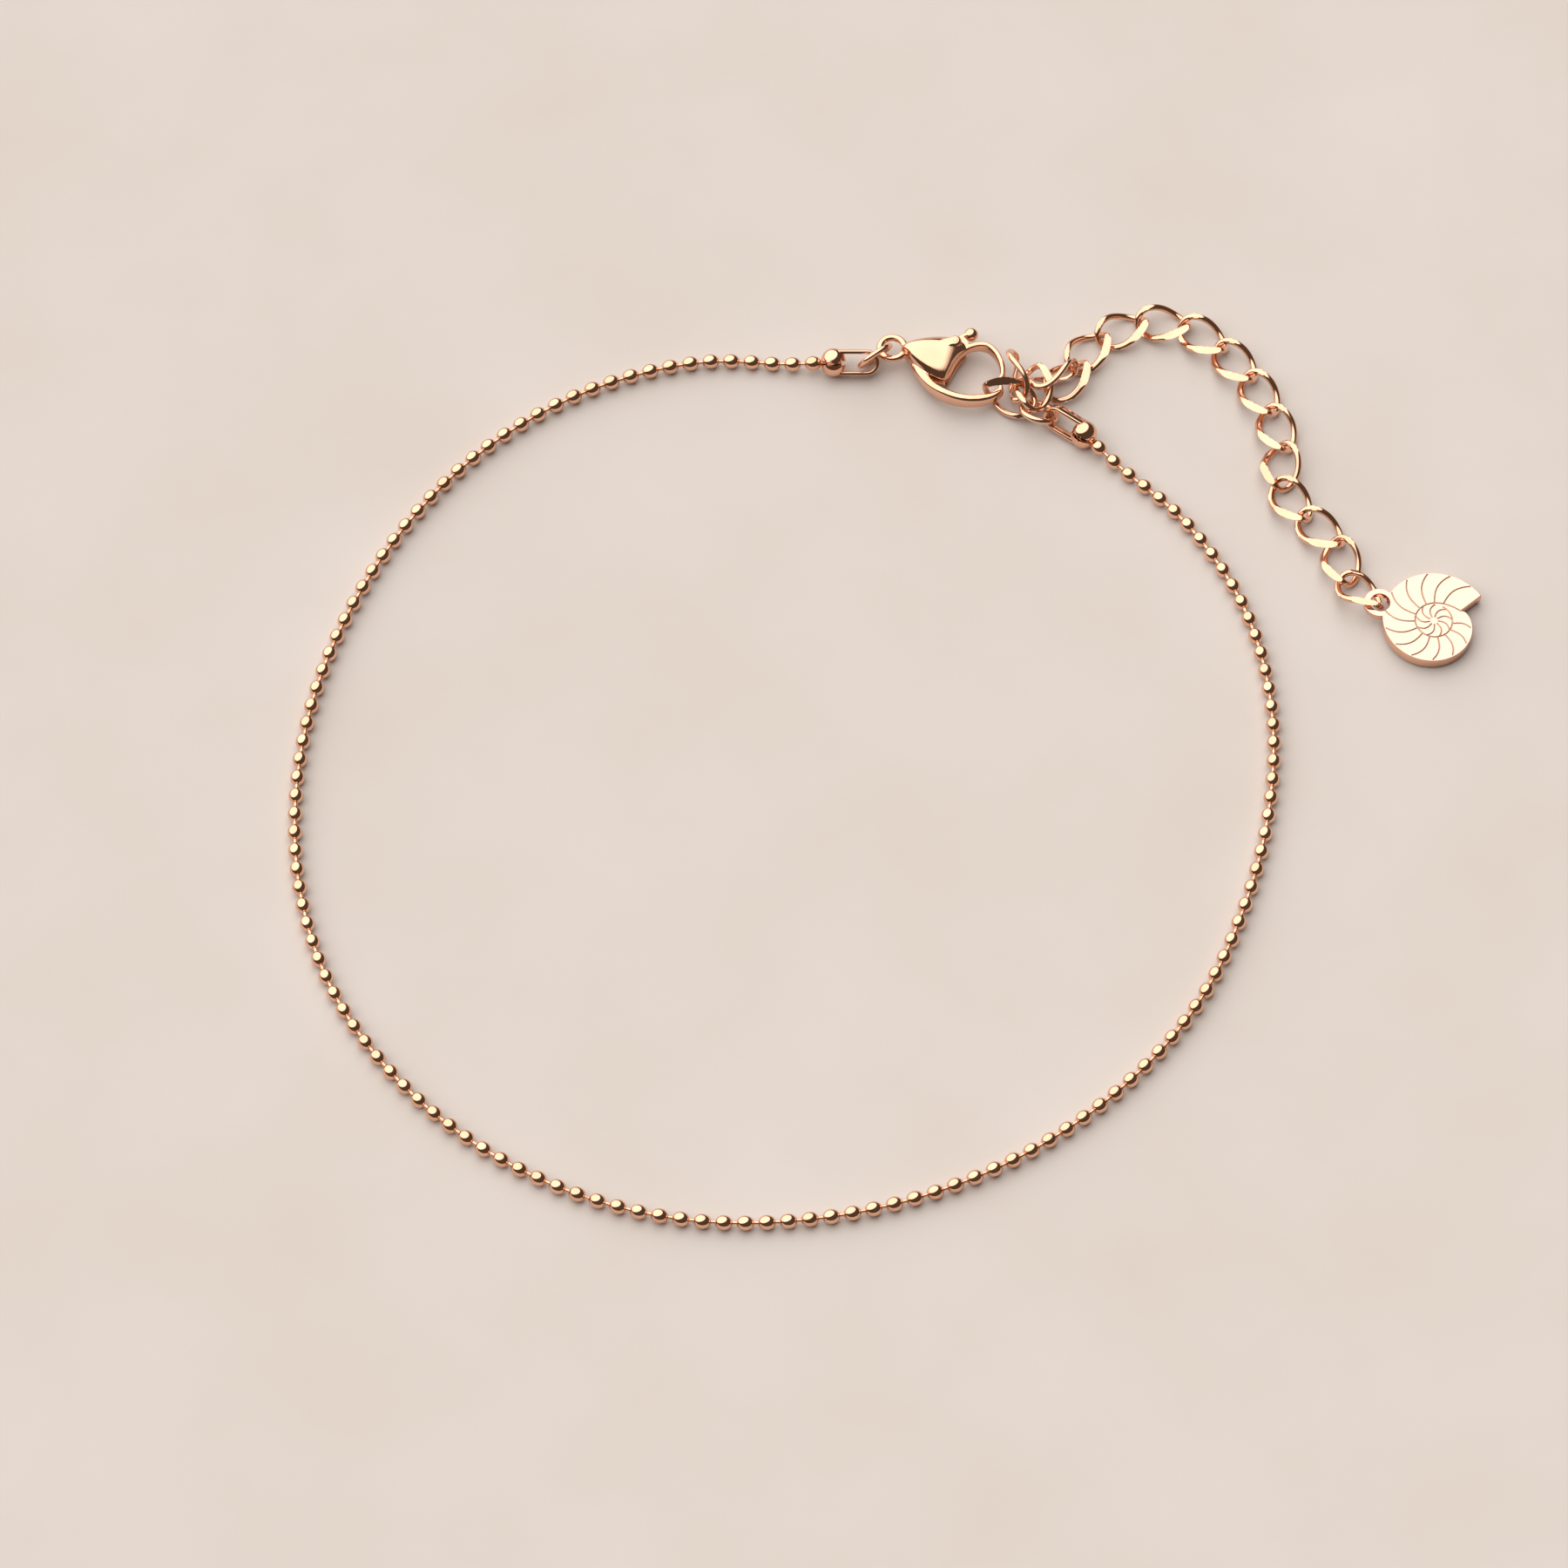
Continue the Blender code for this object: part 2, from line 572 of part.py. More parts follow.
def make_charm(parts, cutters, material):
    charm = flat_plate("charm", shell_outline(), CHARM_THICKNESS, parts)
    angle = radians(CHARM_EAR_ANGLE)
    x, y = CHARM_HOLE_DISTANCE * cos(angle), CHARM_HOLE_DISTANCE * sin(angle)
    top = CHARM_THICKNESS / 2
    ear = rod("charm_ear", CHARM_HOLE_DIAMETER / 2 + CHARM_HOLE_WALL, CHARM_EAR_THICKNESS, 16,
              (x, y, top - CHARM_EAR_THICKNESS / 2), "Z", parts)
    combine(charm, [ear], "UNION", cutters)
    bore = rod("charm_hole", CHARM_HOLE_DIAMETER / 2, 2 * CHARM_THICKNESS, 14, (x, y, 0), "Z", parts)
    combine(charm, [bore], "DIFFERENCE", cutters)
    charm.data.materials.append(material)
    place(charm, charm_middle())
    axis = Vector((sin(angle), -cos(angle), 0.0))
    charm.rotation_euler = Matrix.Rotation(radians(CHARM_TILT), 3, axis).to_euler()
    return charm


def main():
    clear_scene()
    parts = make_collection("ball_chain_anklet")
    cutters = make_collection("cutters")
    rose_gold = metal("rose_gold", (0.86, 0.52, 0.36), 0.16)
    bright_gold = metal("bright_gold", (0.92, 0.66, 0.50), 0.10)
    make_ball_chain(parts, rose_gold)
    make_end_cup("end_cup_right", BEAD_ROUTE_MM[0], RIGHT_CUP_HEADING, RIGHT_CUP_ROLL,
                 parts, cutters, rose_gold)
    make_end_cup("end_cup_left", BEAD_ROUTE_MM[-1], LEFT_CUP_HEADING, LEFT_CUP_ROLL,
                 parts, cutters, rose_gold)
    make_ring("end_ring", END_RING_DIAMETER, END_RING_WIRE, END_RING_PLACE, parts, rose_gold)
    make_ring("clasp_ring", CLASP_RING_DIAMETER, CLASP_RING_WIRE, CLASP_RING_PLACE, parts, rose_gold)
    make_links(parts, rose_gold)
    make_clasp_body(parts, cutters, rose_gold)
    make_clasp_lever(parts, cutters, rose_gold)
    make_charm(parts, cutters, bright_gold)


main()
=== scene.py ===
"""Looks of the ball chain anklet: polished rose gold on a pale floor, in metres."""

from math import atan2, cos, exp, hypot, pi, radians, sin

import bmesh
import bpy
from mathutils import Euler, Matrix, Vector
from mathutils.geometry import interpolate_bezier

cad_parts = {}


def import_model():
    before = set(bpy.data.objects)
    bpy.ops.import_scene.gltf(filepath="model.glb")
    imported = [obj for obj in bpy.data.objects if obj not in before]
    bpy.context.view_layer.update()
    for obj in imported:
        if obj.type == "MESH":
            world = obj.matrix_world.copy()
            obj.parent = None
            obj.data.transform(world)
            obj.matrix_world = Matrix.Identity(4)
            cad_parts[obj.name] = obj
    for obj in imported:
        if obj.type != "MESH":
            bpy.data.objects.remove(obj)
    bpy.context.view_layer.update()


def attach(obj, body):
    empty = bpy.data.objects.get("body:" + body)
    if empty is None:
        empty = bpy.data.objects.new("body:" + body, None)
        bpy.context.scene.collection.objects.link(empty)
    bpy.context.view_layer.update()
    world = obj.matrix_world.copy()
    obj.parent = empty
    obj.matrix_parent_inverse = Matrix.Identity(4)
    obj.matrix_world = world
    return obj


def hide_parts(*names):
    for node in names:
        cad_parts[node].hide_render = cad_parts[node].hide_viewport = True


MM = 0.001

# Camera, from the photograph
VIEW_ELEVATION = 60.2
VIEW_DISTANCE = 0.736
VIEW_LENS = 220.0
VIEW_CENTRE_MM = (-8.0, -2.1, 0.0)

# Window that lights the room: where it stands, and how bright it is
WINDOW_DIRECTION = (-0.43, 0.44, 0.79)
WINDOW_BRIGHTNESS = 2.05

# Ball chain
BEAD_RADIUS = 0.60 * MM
# A real bead is a little longer than it is wide
BEAD_STRETCH = (0.96, 0.96, 1.12)
BEAD_PITCH = 1.62 * MM
PIN_RADIUS = 0.15 * MM
CLIMB_LENGTH = 5.0 * MM
TOUCH_GAP = 0.12 * MM
BEAD_ROUTE_MM = [
    (15.5, 28.8), (17.6, 26.7), (23.5, 20.8), (27.8, 13.0), (29.6, 4.3), (29.2, -4.6), (27.1, -13.2),
    (23.5, -21.4), (18.0, -28.3), (11.0, -33.9), (3.0, -37.8), (-5.6, -39.9), (-14.5, -40.1),
    (-23.1, -38.0), (-30.9, -33.8), (-37.5, -27.7), (-42.3, -20.3), (-44.9, -11.8), (-45.4, -2.9),
    (-44.1, 5.9), (-41.1, 14.3), (-36.6, 22.0), (-30.6, 28.5), (-23.1, 33.3), (-14.6, 35.8),
    (-6.5, 35.5), (-4.1, 35.5),
]

# End cups
CUP_RADIUS = 0.98 * MM
CUP_INNER_RADIUS = 0.70 * MM
CUP_SLIT = 0.30 * MM
CUP_REACH = 3.60 * MM
STRAP_OUTER = 1.00 * MM
STRAP_THICKNESS = 0.30 * MM
STRAP_WIDTH = 0.90 * MM
RIGHT_CUP_HEADING, RIGHT_CUP_ROLL = 144.0, -59.0
LEFT_CUP_HEADING, LEFT_CUP_ROLL = 0.0, 39.0

# Curb links and rings
LINK_LENGTH = 4.60 * MM
LINK_WIDTH = 3.20 * MM
LINK_WIRE = 0.50 * MM
LINK_TWIST = 90.0
# The right-hand side of a link is broader, most of all at this angle round it, and is ground to a facet
LINK_BROADENING = 0.30
LINK_BROADEST_ANGLE = -82.0
LINK_FLAT = 0.09 * MM
LINK_FACET_LEAN = 0.26
# How full the oval of a link is: lower is fuller
LINK_FULLNESS = 0.88
BUNCHED_LINKS = [
    (9.69, 32.18, 1.32, 159.1, 10.4, -51.6),
    (10.22, 33.83, 1.72, 97.0, 6.0, 101.0),
    (11.53, 32.79, 1.64, 85.0, -6.0, -2.0),
    (13.25, 33.82, 1.76, 32.0, -12.0, 115.0),
    (14.22, 34.04, 0.89, 48.0, 0.0, -4.0),
]
FREE_CHAIN_START_MM = (14.70, 35.45)
FREE_LINK_HEADINGS = [48, 25, -6, -38, -51, -64, -73, -98, -58, -42, -81]
CHARM_LINK_TURN = (-45.0, 6.0, -20.0)
CHARM_LINK_OFFSET_MM = (-0.115, -0.054, 0.177)
END_RING_PLACE = (12.00, 30.94, 1.00, 152.4, 0.0, 31.9)
END_RING_DIAMETER, END_RING_WIRE = 3.30 * MM, 0.50 * MM
CLASP_RING_PLACE = (-0.84, 35.80, 1.57, 37.0, 0.0, 111.0)
CLASP_RING_DIAMETER, CLASP_RING_WIRE = 3.28 * MM, 0.44 * MM

# Clasp, round the lever's axis
CLASP_PLACE_MM = (5.47, 36.80, 1.30)
CLASP_HEADING = -20.0
EYE_CENTRE_MM = (-4.60, -1.80)
EYE_RADIUS, EYE_WIRE = 0.98 * MM, 0.56 * MM
DOME_START_MM = (-3.95, -1.62)
DOME_LENGTH = 5.80 * MM
DOME_HALF_WIDTH = 1.95 * MM
DOME_HALF_HEIGHT = 1.30 * MM
DOME_UPPER_SWELL = 0.25
# Edge where the dome is cut off, flush with the lever's arm, and how much that cut leans
DOME_END_MM = [(0.25, -4.0), (0.45, -2.7), (0.56, -1.6), (0.86, -0.6), (1.45, 0.15), (2.0, 0.8)]
DOME_END_LEAN = 0.15
EAR_RADIUS, EAR_DEPTH = 0.52 * MM, 2.20 * MM
LEVER_DEPTH = 0.84 * MM
LEVER_ROOM = 1.00 * MM
LEVER_ROOT_REACH = 1.45 * MM
PIN_HEAD_RADIUS = 0.22 * MM
# Bars of the clasp: x, y, width and depth
HOOK_LINE_MM = [
    (-2.1, -2.7, 1.2, 1.0), (-1.4, -3.5, 0.9, 1.05), (-0.5, -4.15, 0.75, 1.2), (0.6, -4.5, 0.75, 1.45),
    (1.8, -4.55, 0.78, 1.4), (3.0, -4.25, 0.78, 1.25), (4.1, -3.6, 0.74, 1.1), (4.7, -2.85, 0.62, 1.04),
    (4.65, -2.4, 0.42, 0.9),
]
ARM_LINE_MM = [
    (-0.1, -3.3, 0.40, 0.84), (0.2, -2.6, 0.52, 0.84), (0.3, -1.5, 0.52, 0.84), (0.6, -0.5, 0.54, 0.84),
    (1.3, 0.4, 0.54, 0.9), (2.3, 0.78, 0.54, 1.2), (3.2, 0.45, 0.54, 1.2), (3.95, -0.3, 0.52, 1.1),
    (4.4, -1.25, 0.48, 0.9), (4.3, -1.9, 0.40, 0.84),
]
THUMB_LINE_MM = [(0.0, 0.6, 0.40, 0.76), (0.4, 1.1, 0.50, 0.80), (0.82, 1.5, 0.56, 0.90)]
LEVER_WEB_MM = [(0.0, -0.45), (0.6, -0.7), (1.1, 0.1), (0.9, 0.6), (0.3, 1.0), (-0.3, 0.45)]
NUB_RADIUS = 0.56 * MM

# Charm, round the middle of its spiral
CHARM_HOLE_OFFSET_MM = (0.0, 0.26)
CHARM_TILT = 3.1
CHARM_THICKNESS = 0.95 * MM
CHARM_EAR_THICKNESS = 0.50 * MM
CHARM_EAR_ANGLE = 160.0
CHARM_HOLE_DISTANCE = 4.40 * MM
CHARM_HOLE_RADIUS = 0.80 * MM
CHARM_HOLE_WALL = 0.45 * MM
SHELL_MOUTH_ANGLE, SHELL_TURN = 24.0, 352.0
SHELL_INNER_RADIUS, SHELL_OUTER_RADIUS = 2.30 * MM, 4.45 * MM
SHELL_SWELL = 0.45
ENGRAVED_RADIUS = 0.065 * MM
INNER_WHORL_RADIUS = 1.45 * MM
OUTER_CHAMBERS, INNER_CHAMBERS = 13, 9
# By how much of a chamber the one at the mouth is longer than the others
MOUTH_CHAMBER_EXTRA = 0.6
# How many degrees a chamber's wall leans back on its way out, and how far from the rim it ends
WALL_LEAN = 16.0
WALL_END_GAP = 0.07 * MM

# Colours, as linear red, green and blue
ROSE_GOLD = (0.87, 0.53, 0.375)
ROSE_GOLD_DEEP = (0.80, 0.46, 0.30)
# Lighter copy of the rose gold for the charm's top face alone: painted sheen, standing in for the bright window
# reflection there
ROSE_GOLD_PAINTED_SHEEN = (0.90, 0.52, 0.43)
# Darker rose for the engraved grooves: painted shade in the recesses; the roughness given to them is the
# engraving's own cut
GROOVE_ROSE_PAINTED_SHADE = (0.55, 0.40, 0.29)
GROOVE_ROSE_PAINTED_SHADE_DEEP = (0.48, 0.34, 0.24)
FLOOR_STONE = (0.708, 0.653, 0.628)


# Small helpers

def mm(values):
    return Vector([value * MM for value in values])


def placement(point, heading=0.0, nose_up=0.0, roll=0.0):
    """Matrix that rolls about +X, lifts the nose, turns about +Z, then moves to the point."""
    turned = Euler((radians(roll), radians(-nose_up), radians(heading)), "XYZ").to_matrix().to_4x4()
    return Matrix.Translation(point) @ turned


def smooth_line(rows, steps):
    """Rows of a table joined by a smooth curve; each row may have two to three columns."""
    points = [Vector(row).to_3d() if len(row) == 2 else Vector(row) for row in rows]
    line = []
    for index in range(len(points) - 1):
        start, end = points[index], points[index + 1]
        before = points[max(index - 1, 0)]
        after = points[min(index + 2, len(points) - 1)]
        reach = (end - start).length / 3
        leave = start + (end - before).normalized() * reach
        arrive = end - (after - start).normalized() * reach
        line += interpolate_bezier(start, leave, arrive, end, steps + 1)[:-1]
    return line + [points[-1]]


def swell(share, start_power, end_power):
    """Curve that leaves 0, rises to 1 and ends at 0; low powers make that end blunt."""
    peak = start_power / (start_power + end_power)
    highest = peak ** start_power * (1 - peak) ** end_power
    return share ** start_power * max(1 - share, 0.0) ** end_power / highest


def blunt(value, power):
    return abs(value) ** power * (1 if value > 0 else -1)


# Finishes

def node(tree, kind, **settings):
    made = tree.nodes.new(kind)
    for name, value in settings.items():
        setattr(made, name, value)
    return made


def noise(tree, coordinates, scale, detail):
    texture = node(tree, "ShaderNodeTexNoise")
    texture.inputs["Scale"].default_value = scale
    texture.inputs["Detail"].default_value = detail
    tree.links.new(coordinates, texture.inputs["Vector"])
    return texture.outputs["Fac"]


def spread(tree, source, low, high):
    ranged = node(tree, "ShaderNodeMapRange")
    ranged.inputs["From Min"].default_value = 0.3
    ranged.inputs["From Max"].default_value = 0.7
    ranged.inputs["To Min"].default_value = low
    ranged.inputs["To Max"].default_value = high
    tree.links.new(source, ranged.inputs["Value"])
    return ranged.outputs["Result"]


def polished_metal(name, colour, deep_colour, smoothest, roughest, ripple):
    """Polished plating: a little tone drift, hazy spots and a faint ripple left by the polishing mop."""
    finish = bpy.data.materials.new(name)
    finish.use_nodes = True
    tree = finish.node_tree
    shader = tree.nodes["Principled BSDF"]
    shader.inputs["Metallic"].default_value = 1.0
    place = node(tree, "ShaderNodeTexCoord").outputs["Object"]
    tone = node(tree, "ShaderNodeMix", data_type="RGBA")
    tone.inputs["A"].default_value = (*colour, 1.0)
    tone.inputs["B"].default_value = (*deep_colour, 1.0)
    tree.links.new(spread(tree, noise(tree, place, 420.0, 3.0), 0.0, 1.0), tone.inputs["Factor"])
    tree.links.new(tone.outputs["Result"], shader.inputs["Base Color"])
    haze = spread(tree, noise(tree, place, 1500.0, 4.0), smoothest, roughest)
    tree.links.new(haze, shader.inputs["Roughness"])
    bump = node(tree, "ShaderNodeBump")
    bump.inputs["Strength"].default_value = ripple
    bump.inputs["Distance"].default_value = 0.00003
    tree.links.new(noise(tree, place, 900.0, 2.0), bump.inputs["Height"])
    tree.links.new(bump.outputs["Normal"], shader.inputs["Normal"])
    return finish


def floor_finish():
    finish = bpy.data.materials.new("pale_floor")
    finish.use_nodes = True
    tree = finish.node_tree
    shader = tree.nodes["Principled BSDF"]
    shader.inputs["Roughness"].default_value = 0.85
    shader.inputs["Specular IOR Level"].default_value = 0.25
    place = node(tree, "ShaderNodeTexCoord").outputs["Object"]
    tone = node(tree, "ShaderNodeMix", data_type="RGBA")
    tone.inputs["A"].default_value = (*FLOOR_STONE, 1.0)
    tone.inputs["B"].default_value = (FLOOR_STONE[0] * 0.95, FLOOR_STONE[1] * 0.93, FLOOR_STONE[2] * 0.91, 1.0)
    tree.links.new(spread(tree, noise(tree, place, 60.0, 5.0), 0.0, 1.0), tone.inputs["Factor"])
    tree.links.new(tone.outputs["Result"], shader.inputs["Base Color"])
    return finish


# Making pieces

def finish_piece(name, bm, finishes, body, stands_for, sharp=38.0):
    """Turn a bmesh into a piece that rides on a body and stands for a solid."""
    mesh = bpy.data.meshes.new(name)
    bm.to_mesh(mesh)
    bm.free()
    return dress_piece(name, mesh, finishes, body, stands_for, sharp)


def dress_piece(name, mesh, finishes, body, stands_for, sharp=38.0):
    piece = bpy.data.objects.new(name, mesh)
    bpy.context.scene.collection.objects.link(piece)
    for finish in finishes:
        mesh.materials.append(finish)
    mesh.shade_smooth()
    mesh.set_sharp_from_angle(angle=radians(sharp))
    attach(piece, body)
    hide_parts(stands_for)
    return piece


def tidy_shell(bm):
    bmesh.ops.remove_doubles(bm, verts=bm.verts, dist=0.00001 * MM)
    bmesh.ops.recalc_face_normals(bm, faces=bm.faces)
    return bm


def ring_shell(radius, wire, steps, sides):
    """Round wire spun into a ring about +Z."""
    bm = bmesh.new()
    section = Matrix.Translation((radius, 0, 0)) @ Matrix.Rotation(pi / 2, 4, "X")
    bmesh.ops.create_circle(bm, cap_ends=False, segments=sides, radius=wire / 2, matrix=section)
    bmesh.ops.spin(bm, geom=bm.verts[:] + bm.edges[:], cent=(0, 0, 0), axis=(0, 0, 1), angle=2 * pi,
                   steps=steps, use_merge=True)
    return tidy_shell(bm)


def plate_shell(outline, depth, rounding, segments=3):
    """Flat plate from an outline in metres, half its depth above and below z = 0, with rounded rims."""
    bm = bmesh.new()
    corners = [bm.verts.new((x, y, -depth / 2)) for x, y in outline]
    face = bm.faces.new(corners)
    raised = bmesh.ops.extrude_face_region(bm, geom=[face])
    top = [part for part in raised["geom"] if isinstance(part, bmesh.types.BMVert)]
    bmesh.ops.translate(bm, verts=top, vec=(0, 0, depth))
    bmesh.ops.recalc_face_normals(bm, faces=bm.faces)
    if rounding:
        rims = [edge for edge in bm.edges if abs(edge.verts[0].co.z - edge.verts[1].co.z) < depth / 2]
        bmesh.ops.bevel(bm, geom=rims, offset=rounding, segments=segments, profile=0.5, affect="EDGES",
                        material=-1)
    return bm


def band_outline(line_mm, steps):
    """Outline of a band along a middle line of (x, y, width) rows, cut straight across at both ends."""
    line = smooth_line(line_mm, steps)
    left, right = [], []
    for index, point in enumerate(line):
        before = line[max(index - 1, 0)]
        after = line[min(index + 1, len(line) - 1)]
        along = Vector((after.x - before.x, after.y - before.y)).normalized()
        side = Vector((-along.y, along.x)) * point.z / 2
        left.append(((point.x + side.x) * MM, (point.y + side.y) * MM))
        right.append(((point.x - side.x) * MM, (point.y - side.y) * MM))
    return left + right[::-1]


def bar_shell(rows_mm, steps):
    """Rounded bar along a middle line of (x, y, width, depth) rows, with round ends."""
    line = smooth_line([row[:3] for row in rows_mm], steps)
    depths = smooth_line([(row[3], 0.0) for row in rows_mm], steps)
    stations = []
    for index, point in enumerate(line):
        before = line[max(index - 1, 0)]
        after = line[min(index + 1, len(line) - 1)]
        along = Vector((after.x - before.x, after.y - before.y, 0.0)).normalized()
        middle = Vector((point.x, point.y, 0.0))
        depth = depths[index].x
        if index == 0:
            stations += [(middle - along * point.z / 2 * sin(turn), along, point.z, depth, cos(turn))
                         for turn in (1.45, 1.1, 0.7, 0.35)]
        stations.append((middle, along, point.z, depth, 1.0))
        if index == len(line) - 1:
            stations += [(middle + along * point.z / 2 * sin(turn), along, point.z, depth, cos(turn))
                         for turn in (0.35, 0.7, 1.1, 1.45)]
    bm = bmesh.new()
    loops = []
    for middle, along, width, depth, share in stations:
        side = Vector((-along.y, along.x, 0.0))
        section = bmesh.ops.create_circle(bm, cap_ends=False, segments=28, radius=1.0)["verts"]
        loops.append(list({edge for vertex in section for edge in vertex.link_edges}))
        for vertex in section:
            across = blunt(vertex.co.x, 0.75) * width / 2 * share * MM
            up = blunt(vertex.co.y, 0.75) * depth / 2 * share ** 0.5 * MM
            vertex.co = middle * MM + side * across + Vector((0.0, 0.0, up))
    for first, second in zip(loops, loops[1:]):
        bmesh.ops.bridge_loops(bm, edges=first + second)
    bmesh.ops.contextual_create(bm, geom=loops[0])
    bmesh.ops.contextual_create(bm, geom=loops[-1])
    bmesh.ops.recalc_face_normals(bm, faces=bm.faces)
    return bm


def ball_shell(radius, around, along, stretch=(1, 1, 1), centre=(0, 0, 0)):
    """Ball with its poles on X."""
    bm = bmesh.new()
    poles = Matrix.Rotation(pi / 2, 4, "Y")
    bmesh.ops.create_uvsphere(bm, u_segments=around, v_segments=along, radius=radius, matrix=poles)
    bmesh.ops.scale(bm, verts=bm.verts, vec=stretch)
    bmesh.ops.translate(bm, verts=bm.verts, vec=centre)
    return bm


def rod_shell(radius, length, sides, centre=(0, 0, 0), axis="Z", rounding=0.0):
    bm = bmesh.new()
    lying = Matrix.Rotation(pi / 2, 4, "Y") if axis == "X" else Matrix.Identity(4)
    bmesh.ops.create_cone(bm, cap_ends=True, segments=sides, radius1=radius, radius2=radius, depth=length,
                          matrix=Matrix.Translation(centre) @ lying)
    if rounding:
        caps = [face for face in bm.faces if len(face.verts) > 4]
        rims = {edge for face in caps for edge in face.edges}
        bmesh.ops.bevel(bm, geom=list(rims), offset=rounding, segments=3, profile=0.5, affect="EDGES",
                        material=-1)
    return bm


def block_shell(size, centre):
    bm = bmesh.new()
    bmesh.ops.create_cube(bm, size=1.0, matrix=Matrix.Translation(centre))
    bmesh.ops.scale(bm, verts=bm.verts, vec=size, space=Matrix.Translation(-Vector(centre)))
    return bm


def as_object(bm, finish=None):
    mesh = bpy.data.meshes.new("shaping")
    bm.to_mesh(mesh)
    bm.free()
    if finish:
        mesh.materials.append(finish)
    made = bpy.data.objects.new("shaping", mesh)
    bpy.context.scene.collection.objects.link(made)
    return made


def evaluated_mesh(made):
    return bpy.data.meshes.new_from_object(made.evaluated_get(bpy.context.evaluated_depsgraph_get()))


def merged(shells):
    """One bmesh that holds all the shells."""
    whole = bmesh.new()
    for shell in shells:
        mesh = bpy.data.meshes.new("shaping")
        shell.to_mesh(mesh)
        shell.free()
        whole.from_mesh(mesh)
        bpy.data.meshes.remove(mesh)
    return whole


def cast(shells, voxel, rounds):
    """Shells melted into one skin, with small fillets where they meet."""
    made = as_object(merged(shells))
    melt = made.modifiers.new("melt", "REMESH")
    melt.mode = "VOXEL"
    melt.voxel_size = voxel
    soften = made.modifiers.new("soften", "SMOOTH")
    soften.factor = 0.5
    soften.iterations = rounds
    mesh = evaluated_mesh(made)
    bpy.data.objects.remove(made, do_unlink=True)
    bm = bmesh.new()
    bm.from_mesh(mesh)
    return bm


def joined(base, other):
    """Union of two closed shells."""
    main, tool = as_object(base), as_object(other)
    step = main.modifiers.new("join", "BOOLEAN")
    step.operation = "UNION"
    step.solver = "EXACT"
    step.object = tool
    mesh = evaluated_mesh(main)
    for made in (main, tool):
        bpy.data.objects.remove(made, do_unlink=True)
    bm = bmesh.new()
    bm.from_mesh(mesh)
    return bm


def carve(base, cuts, base_finish=None, cut_finish=None):
    """Cut shells out of a closed shell, and return the finished mesh."""
    main, tool = as_object(base, base_finish), as_object(merged(cuts), cut_finish)
    step = main.modifiers.new("cut", "BOOLEAN")
    step.operation = "DIFFERENCE"
    step.solver = "EXACT"
    step.use_self = True
    step.object = tool
    step.material_mode = "TRANSFER"
    mesh = evaluated_mesh(main)
    for made in (main, tool):
        bpy.data.objects.remove(made, do_unlink=True)
    return mesh


# Ball chain

def bead_route():
    line = [point * MM for point in smooth_line(BEAD_ROUTE_MM, 19)]
    distances = [0.0]
    for start, end in zip(line, line[1:]):
        distances.append(distances[-1] + (end - start).length)
    return line, distances


def cup_axis_height(roll):
    lean = abs(cos(radians(roll)))
    domes = CUP_RADIUS + CUP_SLIT / 2 * abs(sin(radians(roll)))
    strap = STRAP_OUTER * abs(sin(radians(roll))) + STRAP_WIDTH / 2 * lean
    return max(domes, strap)


def string_point(line, distances, distance):
    """Point on the string: it lies on the ground and climbs to the cup at either end."""
    index = 0
    while index < len(line) - 2 and distances[index + 1] < distance:
        index += 1
    share = (distance - distances[index]) / (distances[index + 1] - distances[index])
    flat = line[index].lerp(line[index + 1], share)
    height = BEAD_RADIUS
    for from_cup, roll in ((distance, RIGHT_CUP_ROLL), (distances[-1] - distance, LEFT_CUP_ROLL)):
        near = max(0.0, 1.0 - max(from_cup, 0.0) / CLIMB_LENGTH)
        height += (cup_axis_height(roll) - BEAD_RADIUS) * near * near * (3 - 2 * near)
    return Vector((flat.x, flat.y, height))


def add_bead(bm, centre, along):
    """Bead a little longer than it is wide, with its poles on the string."""
    turn = along.to_track_quat("Z", "Y").to_matrix().to_4x4()
    at = Matrix.Translation(centre) @ turn @ Matrix.Diagonal((*BEAD_STRETCH, 1.0))
    bmesh.ops.create_uvsphere(bm, u_segments=20, v_segments=14, radius=BEAD_RADIUS, matrix=at)


def add_pin(bm, start, end):
    along = end - start
    turn = along.to_track_quat("Z", "Y").to_matrix().to_4x4()
    at = Matrix.Translation((start + end) / 2) @ turn
    bmesh.ops.create_cone(bm, cap_ends=True, segments=10, radius1=PIN_RADIUS, radius2=PIN_RADIUS,
                          depth=along.length, matrix=at)


def make_ball_chain(finish):
    line, distances = bead_route()
    spaces = round(distances[-1] / BEAD_PITCH)
    pitch = distances[-1] / spaces
    half = (spaces + 1) // 2
    for name, first, last in (("beads_right", 0, half - 1), ("beads_left", half, spaces)):
        bm = bmesh.new()
        for number in range(first, last + 1):
            here = string_point(line, distances, pitch * number)
            ahead = string_point(line, distances, pitch * number + BEAD_RADIUS / 2)
            behind = string_point(line, distances, pitch * number - BEAD_RADIUS / 2)
            add_bead(bm, here, ahead - behind)
            if number < last:
                add_pin(bm, here, string_point(line, distances, pitch * (number + 1)))
        middle = (pitch * (half - 1) + pitch * half) / 2
        if first == 0:
            add_pin(bm, string_point(line, distances, pitch * (half - 1)),
                    string_point(line, distances, middle - TOUCH_GAP / 2))
        else:
            add_pin(bm, string_point(line, distances, middle + TOUCH_GAP / 2),
                    string_point(line, distances, pitch * half))
        side = name.split("_")[1]
        finish_piece(name, bm, [finish], "anklet", f"ball_chain_{side}")


# End cups

